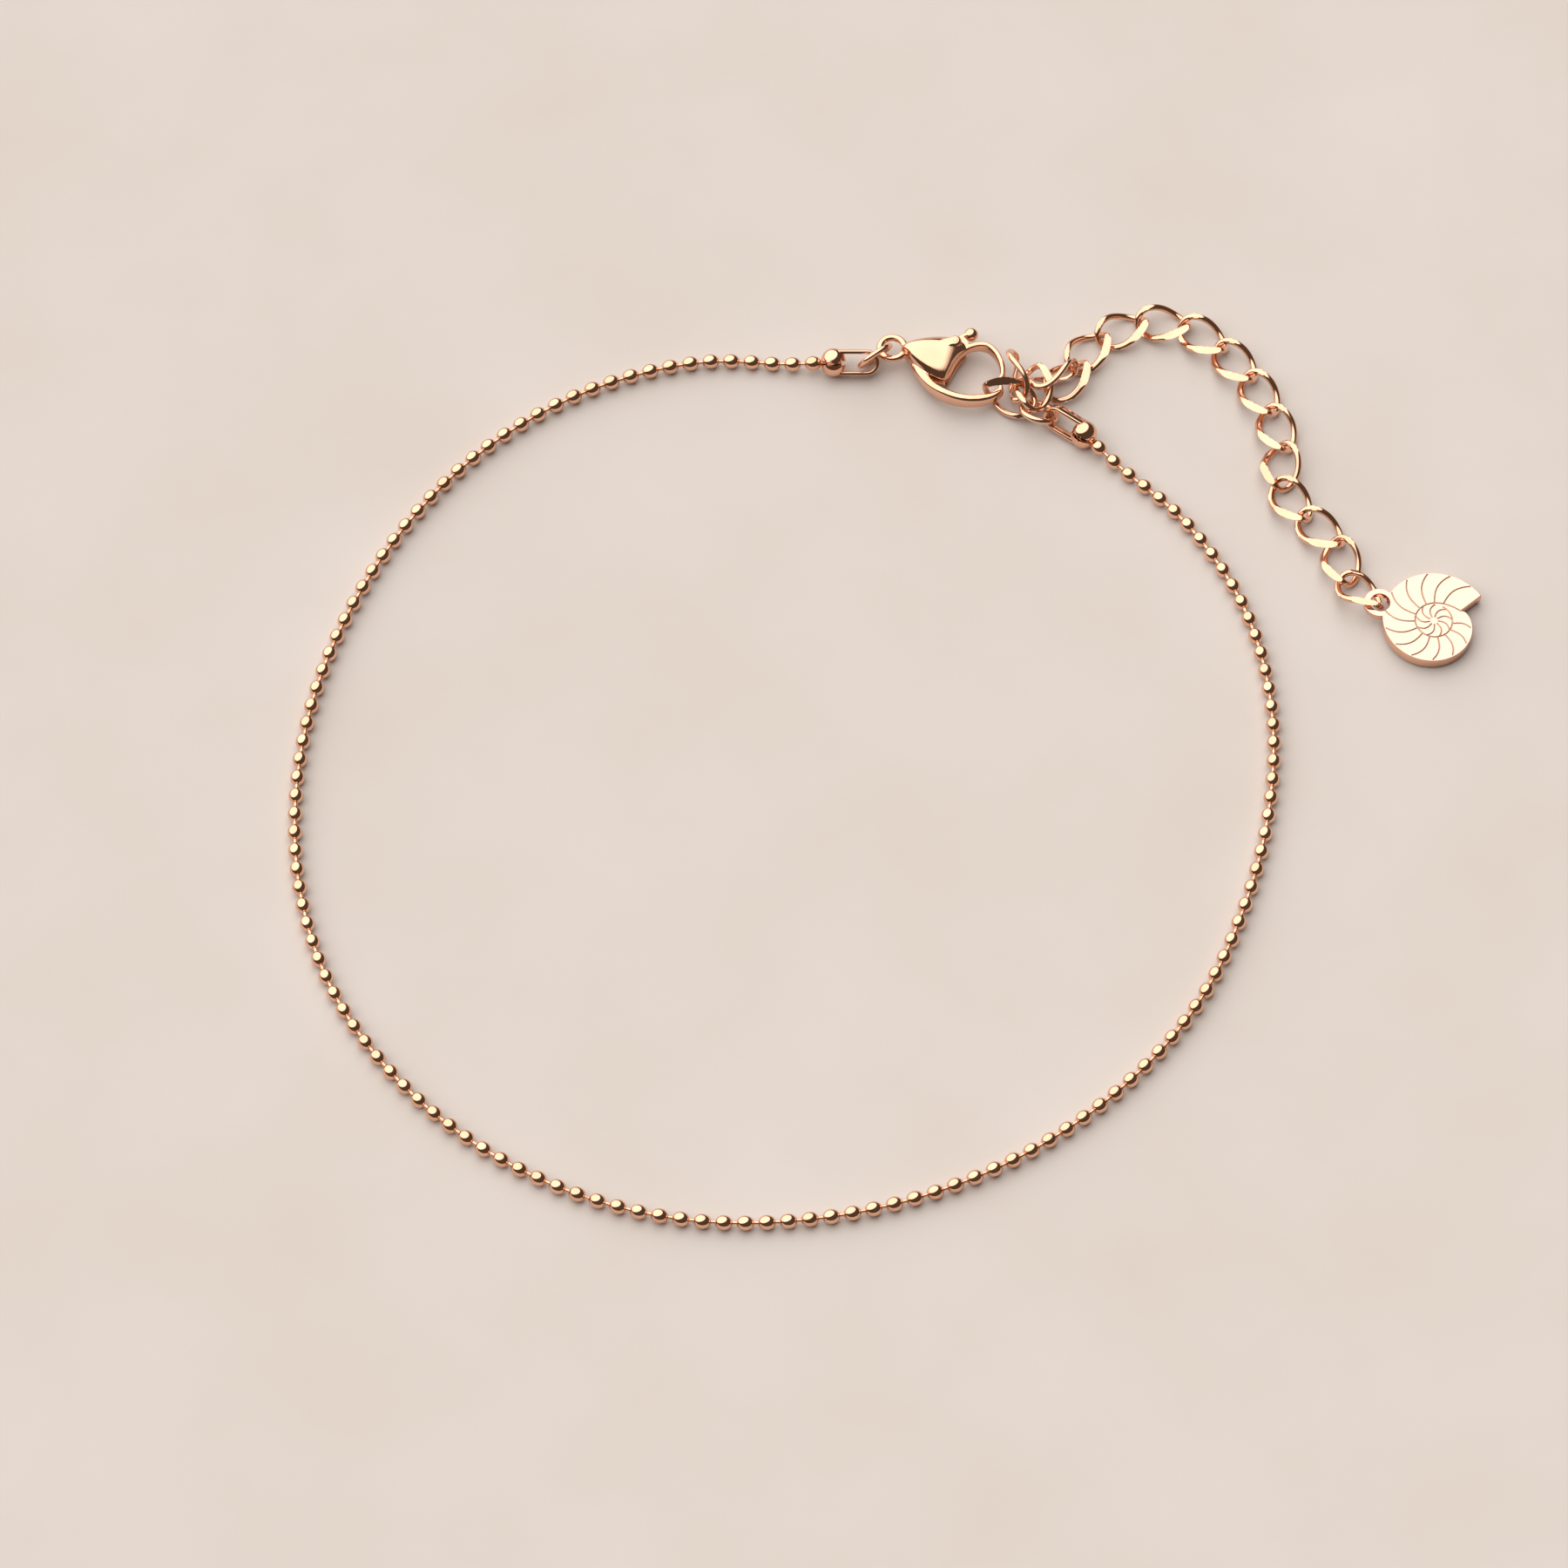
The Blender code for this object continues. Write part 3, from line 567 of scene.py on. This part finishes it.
def half_dome(side):
    """Hollow half dome on one side of the slit, open where the string comes in."""
    shell = ball_shell(CUP_RADIUS, 48, 28, centre=(0, side * CUP_SLIT / 2, 0))
    across = side * (CUP_SLIT / 2 - 2 * CUP_RADIUS)
    other_side = block_shell((4 * CUP_RADIUS, 4 * CUP_RADIUS, 4 * CUP_RADIUS), (0, across, 0))
    hollow = ball_shell(CUP_INNER_RADIUS, 36, 22)
    bore = rod_shell(PIN_RADIUS + 0.1 * MM, 1.5 * CUP_RADIUS, 24, (-CUP_RADIUS, 0, 0), "X")
    bm = bmesh.new()
    bm.from_mesh(carve(shell, [other_side, hollow, bore]))
    return bm


def cup_strap():
    """Strap bent into a U along +X, that holds the two half domes."""
    bend = CUP_REACH - STRAP_OUTER
    inner = STRAP_OUTER - STRAP_THICKNESS
    arc = [pi / 2 - pi * step / 24 for step in range(25)]
    root = 0.35 * CUP_RADIUS
    outline = [(root, STRAP_OUTER)]
    outline += [(bend + STRAP_OUTER * cos(angle), STRAP_OUTER * sin(angle)) for angle in arc]
    outline += [(root, -STRAP_OUTER), (root, -inner)]
    outline += [(bend + inner * cos(angle), inner * sin(angle)) for angle in arc[::-1]]
    outline += [(root, inner)]
    return plate_shell(outline, STRAP_WIDTH, 0.08 * MM)


def make_end_cup(name, at_mm, heading, roll, stands_for, finish):
    bm = merged([half_dome(1), half_dome(-1), cup_strap()])
    at = placement(Vector((at_mm[0] * MM, at_mm[1] * MM, cup_axis_height(roll))), heading, 0.0, roll)
    bmesh.ops.transform(bm, matrix=at, verts=bm.verts)
    finish_piece(name, bm, [finish], "anklet", stands_for)


# Rings and curb links

def link_centre(angle):
    half_length = (LINK_LENGTH - LINK_WIRE) / 2
    half_width = (LINK_WIDTH - LINK_WIRE) / 2
    twist = -radians(LINK_TWIST / 2) * cos(angle)
    across = half_width * blunt(sin(angle), LINK_FULLNESS)
    return Vector((half_length * cos(angle), across * cos(twist), across * sin(twist)))


def link_shell():
    """Ring drawn out to an oval and twisted, with a broad facet ground on its right-hand side."""
    radius = (LINK_WIDTH - LINK_WIRE) / 2
    bm = ring_shell(radius, LINK_WIRE, 84, 20)
    for vertex in bm.verts:
        angle = atan2(vertex.co.y, vertex.co.x)
        broad = 1 + LINK_BROADENING * max(0.0, cos(angle - radians(LINK_BROADEST_ANGLE))) ** 2
        outwards = (hypot(vertex.co.x, vertex.co.y) - radius) * broad
        upwards = vertex.co.z
        middle = link_centre(angle)
        along = (link_centre(angle + 0.01) - link_centre(angle - 0.01)).normalized()
        out = (middle - along * middle.dot(along)).normalized()
        vertex.co = middle + out * outwards + out.cross(along) * upwards
    highest = max(vertex.co.z for vertex in bm.verts) - LINK_FLAT
    for vertex in bm.verts:
        facet = highest + LINK_FACET_LEAN * min(vertex.co.y, 0.0)
        vertex.co.z = max(-facet, min(facet, vertex.co.z))
    return tidy_shell(bm)


def link_rest_height():
    lowest = min(link_centre(2 * pi * step / 72).z for step in range(72))
    return LINK_WIRE / 2 - lowest


def make_link(name, at, heading, nose_up, roll, stands_for, finish):
    bm = link_shell()
    bmesh.ops.transform(bm, matrix=placement(at, heading, nose_up, roll), verts=bm.verts)
    finish_piece(name, bm, [finish], "anklet", stands_for, sharp=24.0)


def free_chain():
    """Middle and heading of each link of the free chain, and the chain's end."""
    span = LINK_LENGTH - 2 * LINK_WIRE - TOUCH_GAP
    contact = Vector((*mm(FREE_CHAIN_START_MM), link_rest_height()))
    places = []
    for heading in FREE_LINK_HEADINGS:
        step = Vector((cos(radians(heading)), sin(radians(heading)), 0.0)) * span
        places.append((contact + step / 2, heading))
        contact = contact + step
    return places, contact


def charm_link_middle():
    forward, left, up = mm(CHARM_LINK_OFFSET_MM)
    reach = LINK_LENGTH / 2 - LINK_WIRE - TOUCH_GAP / 2
    heading = Matrix.Rotation(radians(CHARM_LINK_TURN[0]), 3, "Z")
    return free_chain()[1] + heading @ Vector((reach + forward, left, up))


def make_links(finish):
    number = 1
    for x, y, z, heading, nose_up, roll in BUNCHED_LINKS:
        make_link(f"curb_link_{number:02d}", mm((x, y, z)), heading, nose_up, roll,
                  f"extender_link_{number:02d}", finish)
        number += 1
    for middle, heading in free_chain()[0]:
        make_link(f"curb_link_{number:02d}", middle, heading, 0.0, 0.0, f"extender_link_{number:02d}", finish)
        number += 1
    make_link("link_in_charm", charm_link_middle(), *CHARM_LINK_TURN, "charm_link", finish)


def make_ring(name, diameter, wire, spot, stands_for, finish):
    bm = ring_shell((diameter - wire) / 2, wire, 64, 18)
    at = placement(mm(spot[:3]), *spot[3:])
    bmesh.ops.transform(bm, matrix=at, verts=bm.verts)
    finish_piece(name, bm, [finish], "anklet", stands_for)


# Lobster clasp

def clasp_placement():
    return placement(mm(CLASP_PLACE_MM), CLASP_HEADING)


def dome_shell():
    """Teardrop dome drawn out from a ball towards the eye, and cut off where the lever's arm starts."""
    bm = ball_shell(1.0, 56, 44)
    for vertex in bm.verts:
        share = min(max((vertex.co.x + 1) / 2, 0.0), 1.0)
        across = max(hypot(vertex.co.y, vertex.co.z), 1e-9)
        broad = 1 + DOME_UPPER_SWELL * share if vertex.co.y > 0 else 1.0
        width = DOME_HALF_WIDTH * broad * swell(share, 0.75, 0.35) * blunt(vertex.co.y / across, 0.9)
        height = DOME_HALF_HEIGHT * swell(share, 0.45, 0.75) * blunt(vertex.co.z / across, 0.9)
        vertex.co = Vector((DOME_START_MM[0] * MM + DOME_LENGTH * share, DOME_START_MM[1] * MM + width, height))
    edge = [(point.x * MM, point.y * MM) for point in smooth_line(DOME_END_MM, 4)]
    beyond = 5 * MM
    cutter = plate_shell(edge + [(beyond, edge[-1][1]), (beyond, edge[0][1])], 4 * MM, 0.0)
    for vertex in cutter.verts:
        vertex.co.x -= DOME_END_LEAN * vertex.co.z
    whole = bmesh.new()
    whole.from_mesh(carve(tidy_shell(bm), [cutter]))
    return whole


def make_clasp_shell(finish):
    eye = ring_shell(EYE_RADIUS, EYE_WIRE, 56, 24)
    bmesh.ops.translate(eye, verts=eye.verts, vec=(EYE_CENTRE_MM[0] * MM, EYE_CENTRE_MM[1] * MM, 0))
    neck = rod_shell(0.42 * MM, 0.6 * MM, 20, (-3.5 * MM, -1.68 * MM, 0), "X")
    hook = bar_shell(HOOK_LINE_MM, 6)
    ear_line = [(-1.2, -0.9, 0.9), (0.0, 0.0, 2 * EAR_RADIUS / MM)]
    ear_root = plate_shell(band_outline(ear_line, 2), EAR_DEPTH, 0.30 * MM)
    ear = rod_shell(EAR_RADIUS, EAR_DEPTH, 32, rounding=0.32 * MM)
    solid = cast([dome_shell(), eye, neck, hook, ear_root, ear], 0.04 * MM, 8)
    tail = ARM_LINE_MM[0]
    reach = hypot(tail[0], tail[1]) * MM + TOUCH_GAP
    arc = [radians(-60 - 54 * step / 12) for step in range(13)]
    fan = [(0.0, 0.0)] + [(reach * cos(angle), reach * sin(angle)) for angle in arc]
    tail_room = plate_shell(fan, LEVER_ROOM, 0.0)
    root_room = rod_shell(LEVER_ROOT_REACH, LEVER_ROOM, 48)
    mesh = carve(solid, [tail_room, root_room], finish, finish)
    mesh.transform(clasp_placement())
    dress_piece("clasp_shell", mesh, [], "anklet", "clasp_body", sharp=42.0)


def make_lever(finish):
    arm = bar_shell(ARM_LINE_MM, 6)
    thumb = bar_shell(THUMB_LINE_MM, 6)
    web = plate_shell([(x * MM, y * MM) for x, y in LEVER_WEB_MM], LEVER_DEPTH * 0.96, 0.0)
    hub = rod_shell(EAR_RADIUS, LEVER_DEPTH, 32)
    x, y = THUMB_LINE_MM[-1][:2]
    nub = ball_shell(NUB_RADIUS, 32, 20, (1, 1, 0.95), (x * MM, y * MM, 0))
    bm = cast([arm, thumb, web, hub, nub], 0.03 * MM, 5)
    bmesh.ops.transform(bm, matrix=clasp_placement(), verts=bm.verts)
    finish_piece("lever_arm", bm, [finish], "lever", "clasp_lever", sharp=60.0)


def make_lever_pin(finish):
    bm = rod_shell(PIN_HEAD_RADIUS, EAR_DEPTH + 0.04 * MM, 24, rounding=0.05 * MM)
    bmesh.ops.transform(bm, matrix=clasp_placement(), verts=bm.verts)
    finish_piece("rivet", bm, [finish], "anklet", "lever_pin")


# Shell charm

def shell_radius(share):
    """Radius of the outline: share 0 is the inner end of the mouth, and share 1 its outer tip."""
    return SHELL_INNER_RADIUS + (SHELL_OUTER_RADIUS - SHELL_INNER_RADIUS) * share ** SHELL_SWELL


def shell_point(angle_degrees, radius):
    angle = radians(angle_degrees)
    return Vector((radius * cos(angle), radius * sin(angle), 0.0))


def whorl_radius(turned):
    """Radius of the inner whorl's line after it has turned so many degrees back from the mouth."""
    return INNER_WHORL_RADIUS + (SHELL_INNER_RADIUS - INNER_WHORL_RADIUS) * exp(-turned / 34.0)


def curved_wall(start_angle, start_radius, end_angle, end_radius, bow):
    """Wall of a chamber: a gentle curve from one point to another."""
    line = []
    for step in range(11):
        share = step / 10
        angle = start_angle + (end_angle - start_angle) * share + bow * sin(pi * share)
        line.append(shell_point(angle, start_radius + (end_radius - start_radius) * share))
    return line


def engraved_lines():
    """The whorl line and the curved walls of the chambers, as lines of points."""
    lines = [[shell_point(SHELL_MOUTH_ANGLE + 12 * step, whorl_radius(12 * step)) for step in range(34)]]
    for number in range(1, OUTER_CHAMBERS + 1):
        turned = SHELL_TURN * (number + MOUTH_CHAMBER_EXTRA) / (OUTER_CHAMBERS + 1 + MOUTH_CHAMBER_EXTRA)
        share = 1 - turned / SHELL_TURN
        lean = WALL_LEAN * min(1.0, share * 3)
        outer_share = min(1.0, share + lean / SHELL_TURN)
        lines.append(curved_wall(SHELL_MOUTH_ANGLE + turned, whorl_radius(turned),
                                 SHELL_MOUTH_ANGLE + turned - lean, shell_radius(outer_share) - WALL_END_GAP,
                                 5.0))
    for number in range(INNER_CHAMBERS):
        turned = 360.0 * number / INNER_CHAMBERS + 60.0
        lines.append(curved_wall(SHELL_MOUTH_ANGLE + turned + 30.0, 0.30 * MM,
                                 SHELL_MOUTH_ANGLE + turned, INNER_WHORL_RADIUS, 9.0))
    return lines


def groove_tool(line, height):
    """Thin round tool swept along an engraved line, just under the charm's top face."""
    curve = bpy.data.curves.new("groove", "CURVE")
    curve.dimensions = "3D"
    curve.bevel_depth = ENGRAVED_RADIUS
    curve.bevel_resolution = 2
    curve.use_fill_caps = True
    spline = curve.splines.new("POLY")
    spline.points.add(len(line) - 1)
    for index, point in enumerate(line):
        spline.points[index].co = (point.x, point.y, height, 1.0)
    made = bpy.data.objects.new("groove", curve)
    bpy.context.scene.collection.objects.link(made)
    mesh = evaluated_mesh(made)
    bpy.data.objects.remove(made, do_unlink=True)
    bm = bmesh.new()
    bm.from_mesh(mesh)
    return tidy_shell(bm)


def charm_placement():
    """The charm lies with its ear lifted a little, and the last link runs through its hole."""
    tilt = radians(CHARM_TILT)
    angle = radians(CHARM_EAR_ANGLE)
    wire = placement(Vector(), *CHARM_LINK_TURN) @ Vector(((LINK_LENGTH - LINK_WIRE) / 2, 0.0, 0.0))
    hole = charm_link_middle() + wire + Vector((*mm(CHARM_HOLE_OFFSET_MM), 0.0))
    middle = Vector((hole.x - CHARM_HOLE_DISTANCE * cos(angle), hole.y - CHARM_HOLE_DISTANCE * sin(angle),
                     CHARM_THICKNESS / 2 + SHELL_OUTER_RADIUS * sin(tilt)))
    axis = Vector((sin(angle), -cos(angle), 0.0))
    return Matrix.Translation(middle) @ Matrix.Rotation(tilt, 4, axis)


def make_charm(top_sheen_finish, rose, groove_shade_finish):
    outline = []
    for step in range(121):
        share = step / 120
        point = shell_point(SHELL_MOUTH_ANGLE - SHELL_TURN * share, shell_radius(share))
        outline.append((point.x, point.y))
    plate = plate_shell(outline, CHARM_THICKNESS, 0.05 * MM)
    hole = shell_point(CHARM_EAR_ANGLE, CHARM_HOLE_DISTANCE)
    top = CHARM_THICKNESS / 2
    ear = rod_shell(CHARM_HOLE_RADIUS + CHARM_HOLE_WALL, CHARM_EAR_THICKNESS, 48,
                    (hole.x, hole.y, top - CHARM_EAR_THICKNESS / 2), rounding=0.06 * MM)
    bore = rod_shell(CHARM_HOLE_RADIUS, 2 * CHARM_THICKNESS, 40, (hole.x, hole.y, 0))
    bm = bmesh.new()
    bm.from_mesh(carve(joined(plate, ear), [bore]))
    tools = [groove_tool(line, top) for line in engraved_lines()]
    # Grooves get the darker rose, painted shade in the recesses
    mesh = carve(bm, tools, top_sheen_finish, groove_shade_finish)
    # Faces turned away from the top go to the plain rose gold; the top face keeps the lighter gold, a painted
    # sheen
    for face in mesh.polygons:
        if face.material_index == 0 and face.normal.z < 0.5:
            face.material_index = 2
    mesh.transform(charm_placement())
    dress_piece("shell_charm", mesh, [rose], "anklet", "charm", sharp=30.0)


# Floor, light and camera

def make_floor():
    bm = bmesh.new()
    bmesh.ops.create_grid(bm, x_segments=1, y_segments=1, size=2.0)
    mesh = bpy.data.meshes.new("floor")
    bm.to_mesh(mesh)
    bm.free()
    floor = bpy.data.objects.new("floor", mesh)
    floor.location.z = -0.02 * MM
    mesh.materials.append(floor_finish())
    bpy.context.scene.collection.objects.link(floor)


def make_room():
    """Dim warm room with one great soft window above, behind and to the left."""
    world = bpy.data.worlds.new("studio")
    bpy.context.scene.world = world
    world.use_nodes = True
    tree = world.node_tree
    background = tree.nodes["Background"]
    background.inputs["Strength"].default_value = WINDOW_BRIGHTNESS
    direction = node(tree, "ShaderNodeTexCoord").outputs["Generated"]
    towards = node(tree, "ShaderNodeVectorMath", operation="DOT_PRODUCT")
    towards.inputs[1].default_value = WINDOW_DIRECTION
    tree.links.new(direction, towards.inputs[0])
    ramp = node(tree, "ShaderNodeValToRGB")
    ramp.color_ramp.elements[0].position = 0.53
    ramp.color_ramp.elements[0].color = (0.045, 0.036, 0.028, 1.0)
    ramp.color_ramp.elements[1].position = 0.63
    ramp.color_ramp.elements[1].color = (1.0, 0.965, 0.91, 1.0)
    tree.links.new(towards.outputs["Value"], ramp.inputs["Fac"])
    tree.links.new(ramp.outputs["Color"], background.inputs["Color"])


def make_camera():
    lens = bpy.data.cameras.new("view")
    lens.sensor_width = 36.0
    lens.lens = VIEW_LENS
    lens.clip_start = 0.01
    lens.clip_end = 10.0
    camera = bpy.data.objects.new("view", lens)
    rise = radians(VIEW_ELEVATION)
    camera.location = mm(VIEW_CENTRE_MM) + Vector((0, -cos(rise), sin(rise))) * VIEW_DISTANCE
    camera.rotation_euler = (pi / 2 - rise, 0, 0)
    bpy.context.scene.collection.objects.link(camera)
    bpy.context.scene.camera = camera


def main():
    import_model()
    make_camera()
    make_floor()
    make_room()
    rose = polished_metal("rose_gold_polish", ROSE_GOLD, ROSE_GOLD_DEEP, 0.04, 0.11, 0.05)
    wire = polished_metal("rose_gold_wire", ROSE_GOLD, ROSE_GOLD_DEEP, 0.05, 0.14, 0.06)
    # Lighter gold for the charm's top face: painted sheen
    top_sheen_finish = polished_metal("rose_gold_top_painted_sheen", ROSE_GOLD_PAINTED_SHEEN, ROSE_GOLD_PAINTED_SHEEN, 0.06, 0.12, 0.02)
    # Darker, rougher rose for the grooves: the darkness is painted shade, the roughness and ripple the
    # engraving's own
    groove_shade_finish = polished_metal("engraved_groove_painted_shade", GROOVE_ROSE_PAINTED_SHADE, GROOVE_ROSE_PAINTED_SHADE_DEEP, 0.35, 0.50, 0.20)
    make_ball_chain(rose)
    make_end_cup("bead_cup_right", BEAD_ROUTE_MM[0], RIGHT_CUP_HEADING, RIGHT_CUP_ROLL, "end_cup_right", rose)
    make_end_cup("bead_cup_left", BEAD_ROUTE_MM[-1], LEFT_CUP_HEADING, LEFT_CUP_ROLL, "end_cup_left", rose)
    make_ring("ring_at_cup", END_RING_DIAMETER, END_RING_WIRE, END_RING_PLACE, "end_ring", wire)
    make_ring("ring_at_clasp", CLASP_RING_DIAMETER, CLASP_RING_WIRE, CLASP_RING_PLACE, "clasp_ring", wire)
    make_links(wire)
    make_clasp_shell(rose)
    make_lever(rose)
    make_lever_pin(rose)
    make_charm(top_sheen_finish, rose, groove_shade_finish)
    bpy.context.scene.view_settings.view_transform = "Standard"
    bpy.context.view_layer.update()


main()
